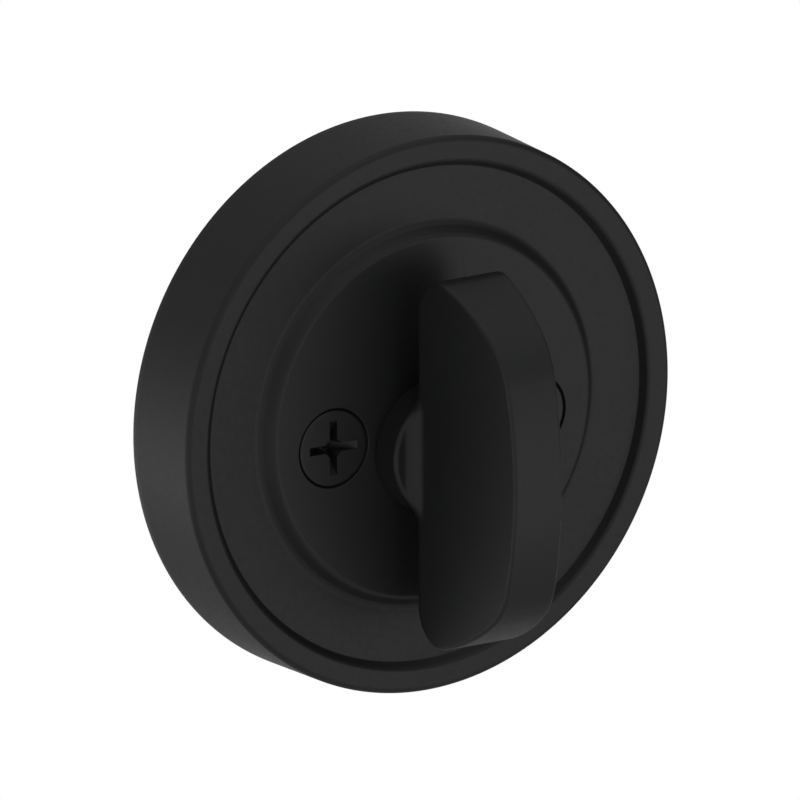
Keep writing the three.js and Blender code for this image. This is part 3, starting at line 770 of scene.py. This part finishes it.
def cross_wing(at, face, reach, bottom, depth, width, upright):
    """One of the two tapered blades that cut a cross recess into a head whose face is at y = face."""
    x, z = at
    into = math.copysign(1, depth)
    line = [(-reach, -into), (-reach, 0), (-bottom, depth), (bottom, depth), (reach, 0), (reach, -into)]
    half = width / 2
    if upright:
        return extruded("wing", [(x - half, face + y, z + a) for a, y in line], (width, 0, 0))
    return extruded("wing", [(x + a, face + y, z - half) for a, y in line], (0, 0, width))


def mounting_screw(side):
    """A flat-head machine screw: cone head level with the rose, cross recess, rolled thread."""
    at = SCREWS[side]
    tip = box("mounting_screw_" + side)[1].y
    edge, pitch, point, root = 0.22, 0.8, 0.8, 1.98
    cone_back = DISC_Y + SCREW_EDGE + SCREW_HEAD - SCREW_CORE
    thread_start = cone_back + 3
    face = DISC_Y + SCREW_SUNK
    profile = [
        (0, face),
        (SCREW_CORE / 2, face),
        (SCREW_HEAD - edge - 0.1, face),
        *arc(SCREW_HEAD - edge, face + edge, edge, -90, 0, 5),
        (SCREW_HEAD, DISC_Y + SCREW_EDGE),
        (SCREW_CORE, cone_back),
        *thread_rings(SCREW_CORE, thread_start, tip - point, pitch),
        (SCREW_CORE - point, tip),
        (0, tip),
    ]
    screw = turned("mounting_screw", profile, 64, at)
    threaded(screw, at, thread_start, tip - point + 0.01, root, SCREW_CORE, pitch)
    reach, bottom, depth, width = 3.25, 0.85, 2.1, 1.0
    wings = [cross_wing(at, face, reach, bottom, depth, width, upright) for upright in (False, True)]
    wide, narrow, deep = 1.15, 0.45, 2.3
    profile = [
        (0, face - PAST),
        (wide, face - PAST),
        (wide, face),
        (narrow, face + deep),
        (0, face + deep),
    ]
    recess = joined(wings[0], wings[1], turned("cone", profile, 32, at))
    bevelled(recess, 0.05, 1, 50)
    cut(screw, recess)
    screw.name = "mounting_screw_" + side
    smooth(screw, 32)
    return placed(screw, "trim", "mounting_screw_" + side, SCREW_PAINT)


def plate_screw(side):
    """A pan-head thread-forming screw that holds the plate to a boss of the rose."""
    at = PLATE_SCREWS[side]
    low, high = box("plate_screw_" + side)
    tip, seat, top = low.y, high.y - 0.8, high.y
    head, core, root, pitch = 2.5, 1.25, 0.95, 0.9
    blunt, rounded = 0.5, 0.5  # radius of the point's end and of the head's front edge
    profile = [
        (0, tip),
        (blunt, tip + 0.1),
        (core, tip + core),
        *thread_rings(core, tip + core + 0.02, seat - 0.4, pitch),
        (core, seat),
        (head - 0.1, seat),
        (head, seat + 0.1),
        *arc(head - rounded - 0.05, top - rounded, rounded, 0, 90, 6),
        (0, top),
    ]
    screw = turned("plate_screw", profile, 48, at)
    threaded(screw, at, tip + core, seat - 0.3, root, core, pitch)
    reach, bottom, depth, width = 1.45, 0.5, -0.7, 0.5
    for upright in (False, True):
        cut(screw, cross_wing(at, top, reach, bottom, depth, width, upright))
    screw.name = "plate_screw_" + side
    smooth(screw, 32)
    return placed(screw, "trim", "plate_screw_" + side, ZINC)


# ---- Plain turned and stamped pieces ----


def soft_ring(name, bore, radius, front, back, eased, sides, at):
    """A ring with its four edges rounded by eased."""
    profile = [
        *arc(bore + eased, front + eased, eased, 180, 270, 3),
        *arc(radius - eased, front + eased, eased, -90, 0, 3),
        *arc(radius - eased, back - eased, eased, 0, 90, 3),
        *arc(bore + eased, back - eased, eased, 90, 180, 3),
    ]
    return turned(name, profile, sides, at, ring=True)


def simple_ring(node_name, bore, eased, body, look, sides=96):
    """A ring that fills its node's box, around the given bore."""
    low, high = box(node_name)
    at = centre(node_name)
    radius = (high.x - low.x) / 2
    made = soft_ring(node_name, bore, radius, low.y, high.y, eased, sides, at)
    made.name = node_name
    smooth(made, 12)
    return placed(made, body, node_name, look)


def mounting_plate():
    low, high = box("mounting_plate")
    eased = 0.12
    profile = [
        (0, low.y),
        *arc(high.x - eased, low.y + eased, eased, -90, 0, 3),
        *arc(high.x - eased, high.y - eased, eased, 0, 90, 3),
        (0, high.y),
    ]
    plate = turned("mounting_plate", profile, 192)
    holes = [(PLATE_BORE, AXIS)]
    holes += [(SCREW_CORE + SLIP, at) for at in SCREWS.values()]
    holes += [(PLATE_SCREW_HOLE, at) for at in PLATE_SCREWS.values()]
    holes += [(RIVET_HOLE, at) for at in RIVETS.values()]
    for radius, at in holes:
        lip = 0.1
        profile = [
            (0, low.y - PAST),
            (radius + lip, low.y - PAST),
            (radius + lip, low.y),
            (radius, low.y + lip),
            (radius, high.y - lip),
            (radius + lip, high.y),
            (radius + lip, high.y + PAST),
            (0, high.y + PAST),
        ]
        cut(plate, turned("hole", profile, 64, at))
    plate.name = "mounting_plate"
    smooth(plate, 12)
    return placed(plate, "trim", "mounting_plate", ZINC)


def spindle_bush():
    low, high = box("spindle_bush")
    bore, radius = SHANK_RADIUS + RUNNING, (high.x - low.x) / 2
    wall, flange, eased = BUSH_WALL, BUSH_FLANGE, 0.15
    profile = [
        (bore, low.y + eased),
        (bore + eased, low.y),
        (bore + wall - eased, low.y),
        (bore + wall, low.y + eased),
        (bore + wall, high.y - flange),
        *arc(radius - eased, high.y - flange + eased, eased, -90, 0, 3),
        *arc(radius - eased, high.y - eased, eased, 0, 90, 3),
        (bore + eased, high.y),
        (bore, high.y - eased),
    ]
    bush = turned("spindle_bush", profile, 96, AXIS, ring=True)
    smooth(bush, 12)
    return placed(bush, "trim", "spindle_bush", ACETAL)


def wave_washer():
    """A flat spring ring pressed into three waves."""
    low, high = box("wave_washer")
    bore = SHANK_RADIUS + RUNNING
    lift = WAVE_HEIGHT / 2
    radius = (high.x - low.x) / 2
    washer = soft_ring("wave_washer", bore, radius, low.y + lift, high.y - lift, 0.08, 120, AXIS)
    x, z = AXIS
    for vertex in washer.data.vertices:
        turn = math.atan2(vertex.co.x / MM - x, vertex.co.z / MM - z)
        vertex.co.y += lift * math.cos(WAVES * turn) * MM
    smooth(washer, 14)
    return placed(washer, "turn", "wave_washer", SPRING)


def retaining_ring():
    """An open ring snapped into the groove, with rounded ends."""
    low, high = box("retaining_ring")
    x, z = AXIS
    bore = GROOVE_RADIUS + RUNNING
    radius = (high.x - low.x) / 2
    ring = soft_ring("retaining_ring", bore, radius, low.y, high.y, 0.08, 96, AXIS)
    reach, half = 3 * radius, RING_MOUTH / 2
    aside, down, front = reach * math.sin(half), reach * math.cos(half), low.y - PAST
    mouth = [(x, front, z), (x - aside, front, z - down), (x + aside, front, z - down)]
    cut(ring, extruded("mouth", mouth, (0, high.y + PAST - front, 0)))
    bevelled(ring, 0.25, 3, 70)
    ring.name = "retaining_ring"
    smooth(ring, 12)
    return placed(ring, "turn", "retaining_ring", SPRING)


def detent_cam():
    """A blanked brass square with rounded corners, keyed on the two flats of the shank."""
    low, high = box("detent_cam")
    x, z = AXIS
    half = (high.x - low.x) / 2
    cam = block("detent_cam", (x - half, low.y, z - half), (x + half, high.y, z + half))
    combined(cam, rod("corners", half + CAM_CORNER, low.y - PAST, high.y + PAST, 96, AXIS), "INTERSECT")
    keep = SHANK_FLAT + RUNNING
    bore = rod("bore", SHANK_RADIUS + RUNNING, low.y - PAST, high.y + PAST, 96, AXIS)
    across = block("across", (x - keep, low.y - 2 * PAST, z - half), (x + keep, high.y + 2 * PAST, z + half))
    cut(cam, combined(bore, across, "INTERSECT"))
    bevelled(cam, 0.08, 2, 50)
    smooth(cam, 12)
    return placed(cam, "turn", "detent_cam", BRASS)


def detent_spring(side, direction):
    """A strip beside the cam, rolled over at its free end, with a foot that lies flat on the plate."""
    node_name = "detent_spring_" + side
    low, high = box(node_name)
    x, z = AXIS
    strip, length, roll = SPRING_STRIP, SPRING_HALF_LENGTH, SPRING_ROLL
    inner = direction * SPRING_X + x
    line = [
        (0, -length),
        *arc(roll, length, roll, 180, 180 - SPRING_CURL, 14),
        *reversed(arc(roll, length, roll - strip, 180, 180 - SPRING_CURL, 14)),
        (strip, -length),
    ]
    depth = high.y - low.y
    spring = extruded("spring", [(inner + direction * a, low.y, z + b) for a, b in line], (0, depth, 0))
    near, far = sorted((inner, inner + direction * SPRING_FOOT_REACH))
    foot_end = z - length + SPRING_FOOT_LENGTH
    foot = block("foot", (near, high.y - SPRING_FOOT, z - length), (far, high.y, foot_end))
    joined(spring, foot)
    hole_start = high.y - SPRING_FOOT - 1.6
    cut(spring, rod("hole", RIVET_HOLE, hole_start, high.y + PAST, 48, RIVETS[side]))
    bevelled(spring, 0.06, 2, 50)
    spring.name = node_name
    smooth(spring, 32)
    return placed(spring, "trim", node_name, SPRING)


def spring_rivet(side):
    """A round-head rivet, its tail headed over behind the plate."""
    node_name = "spring_rivet_" + side
    low, high = box(node_name)
    head, shank, thick = 1.7, 0.9, 0.6
    crown = head - thick - 0.15  # flat middle of each head
    profile = [
        (0, low.y),
        *arc(crown, low.y + thick, thick, -90, 0, 6),
        (head, low.y + thick),
        (shank, low.y + thick),
        (shank, high.y - thick),
        (head, high.y - thick),
        *arc(crown, high.y - thick, thick, 0, 90, 6),
        (0, high.y),
    ]
    rivet = outwards(turned(node_name, profile, 48, RIVETS[side]))
    smooth(rivet, 32)
    return placed(rivet, "trim", node_name, ZINC)


def spindle():
    """The flat blade that turns the bolt, chamfered at its nose and drilled for the pin."""
    low, high = box("spindle")
    z = AXIS[1]
    nose, half = 0.8, (high.z - low.z) / 2
    side = [
        (low.y, -half),
        (high.y - nose, -half),
        (high.y, -half + nose),
        (high.y, half - nose),
        (high.y - nose, half),
        (low.y, half),
    ]
    blade = extruded("spindle", [(low.x, y, z + up) for y, up in side], (high.x - low.x, 0, 0))
    cut(blade, cross_hole(PIN_HOLE))
    bevelled(blade, 0.15, 2, 40)
    smooth(blade, 12)
    return placed(blade, "turn", "spindle", ZINC)


def spindle_pin():
    """A rolled spring pin: a slit tube with chamfered ends."""
    low, high = box("spindle_pin")
    middle = (low + high) / 2
    half, radius, bore = (high.x - low.x) / 2, (high.z - low.z) / 2, 0.45
    slope_in, slope_along, slit = 0.25, 0.4, 0.12  # chamfer inwards and along the pin; half the slit
    profile = [
        (bore, -half),
        (radius - slope_in, -half),
        (radius, -half + slope_along),
        (radius, half - slope_along),
        (radius - slope_in, half),
        (bore, half),
    ]
    pin = turned("spindle_pin", profile, 48, ring=True)
    cut(pin, block("slit", (-slit, -half - PAST, 0), (slit, half + PAST, radius + PAST)))
    pin.rotation_mode = "XYZ"
    pin.rotation_euler = (0, 0, math.radians(90))
    pin.location = middle * MM
    smooth(pin, 32)
    return placed(pin, "turn", "spindle_pin", SPRING)


# ---- Camera, light and floor ----


def camera():
    """A product view without perspective, from the left and a little above, sized by the rose."""
    azimuth, elevation, distance = math.radians(-32.9), math.radians(16.1), 0.5
    width, aside, below = 2.764, 0.083, 0.026
    data = bpy.data.cameras.new("camera")
    data.type = "ORTHO"
    data.ortho_scale = width * ROSE_RADIUS * MM
    made = bpy.data.objects.new("camera", data)
    bpy.context.scene.collection.objects.link(made)
    back = Vector(
        (
            math.sin(azimuth) * math.cos(elevation),
            -math.cos(azimuth) * math.cos(elevation),
            math.sin(elevation),
        )
    )
    right = Vector((0, 0, 1)).cross(back).normalized()
    up = back.cross(right)
    aim = (right * aside - up * below) * ROSE_RADIUS * MM
    made.location = aim + back * distance
    made.rotation_mode = "QUATERNION"
    made.rotation_quaternion = back.to_track_quat("Z", "Y")
    bpy.context.scene.camera = made


def seen_white(tree, shader, output):
    """What the camera sees directly is plain white; the light that reaches the lock is shader's."""
    white = node(tree, "ShaderNodeEmission", Color=(1, 1, 1, 1), Strength=1.0)
    seen = node(tree, "ShaderNodeLightPath").outputs["Is Camera Ray"]
    mix = node(tree, "ShaderNodeMixShader", _0=seen, _1=shader, _2=white.outputs[0])
    tree.links.new(mix.outputs[0], output.inputs["Surface"])


def studio():
    """A dim soft room, darker to the far right, with one large soft light low in front, over a pale floor."""
    world = bpy.data.worlds.new("studio")
    bpy.context.scene.world = world
    world.use_nodes = True
    tree = world.node_tree
    place = node(tree, "ShaderNodeTexCoord").outputs["Generated"]
    direction = node(tree, "ShaderNodeSeparateXYZ", Vector=place)
    height = node(tree, "ShaderNodeMapRange", Value=direction.outputs["Z"], From_Min=-1.0, From_Max=1.0)
    behind = node(tree, "ShaderNodeMapRange", Value=direction.outputs["Y"], From_Min=-0.2, From_Max=0.4)
    front_room = ramp(
        tree,
        height.outputs[0],
        greys(0.36, (0.22, 0.7), (0.33, 0.5), (0.42, 0.42), (0.55, 0.4), (0.66, 0.3), last=0.5),
    )
    back_room = ramp(
        tree,
        height.outputs[0],
        greys(0.5, (0.24, 0.95), (0.38, 0.74), (0.5, 0.4), (0.6, 0.25), (0.8, 0.24), last=0.42),
    )
    mixed = {"data_type": "RGBA"}
    room = node(tree, "ShaderNodeMix", mixed, _0=behind.outputs[0], _6=front_room, _7=back_room)
    sky = tree.nodes["Background"]
    to_the_right = node(
        tree,
        "ShaderNodeMapRange",
        Value=direction.outputs["X"],
        From_Min=0.6,
        From_Max=0.9,
        To_Min=0.95,
        To_Max=0.3,
    )
    tree.links.new(to_the_right.outputs[0], sky.inputs["Strength"])
    tree.links.new(room.outputs[2], sky.inputs["Color"])
    seen_white(tree, sky.outputs[0], tree.nodes["World Output"])
    toward, size, radiance = Vector((0.50, -0.74, -0.42)), 1.35, 0.28  # place and width in metres
    light = bpy.data.lights.new("front_light", "AREA")
    light.shape, light.size = "DISK", size
    light.energy = radiance * math.pi * math.pi * size * size / 4
    made = bpy.data.objects.new("front_light", light)
    bpy.context.scene.collection.objects.link(made)
    made.location = toward
    made.rotation_mode = "QUATERNION"
    made.rotation_quaternion = toward.to_track_quat("Z", "Y")
    deselected()
    bpy.ops.mesh.primitive_plane_add(size=1.0, location=(0, 0, -0.3))
    floor = bpy.context.object
    floor.name = "floor"
    made, tree, bsdf = material("pale_floor", Base_Color=grey(0.8), Roughness=0.9)
    seen_white(tree, bsdf.outputs[0], tree.nodes["Material Output"])
    floor.data.materials.append(made)
    bpy.context.scene.view_settings.view_transform = "Standard"


camera()
studio()
rose_cover()
thumb_turn()
mounting_plate()
gasket_bore = box("door_gasket")[1].x - GASKET_WIDTH
simple_ring("door_gasket", gasket_bore, 0.2, "trim", FOAM, 192)
spindle_bush()
simple_ring("hub_washer", SHANK_RADIUS + RUNNING, 0.1, "turn", NYLON)
wave_washer()
simple_ring("flat_washer", SHANK_RADIUS + RUNNING, 0.08, "turn", BRASS)
retaining_ring()
detent_cam()
spindle()
spindle_pin()
for side, direction in (("left", -1), ("right", 1)):
    mounting_screw(side)
    simple_ring("spacer_" + side, SCREW_CORE + SLIP, 0.15, "trim", ZINC, 64)
    simple_ring("screw_retainer_" + side, SCREW_CORE + SLIP, 0.12, "trim", NYLON, 64)
    detent_spring(side, direction)
    spring_rivet(side)
for side in PLATE_SCREWS:
    plate_screw(side)
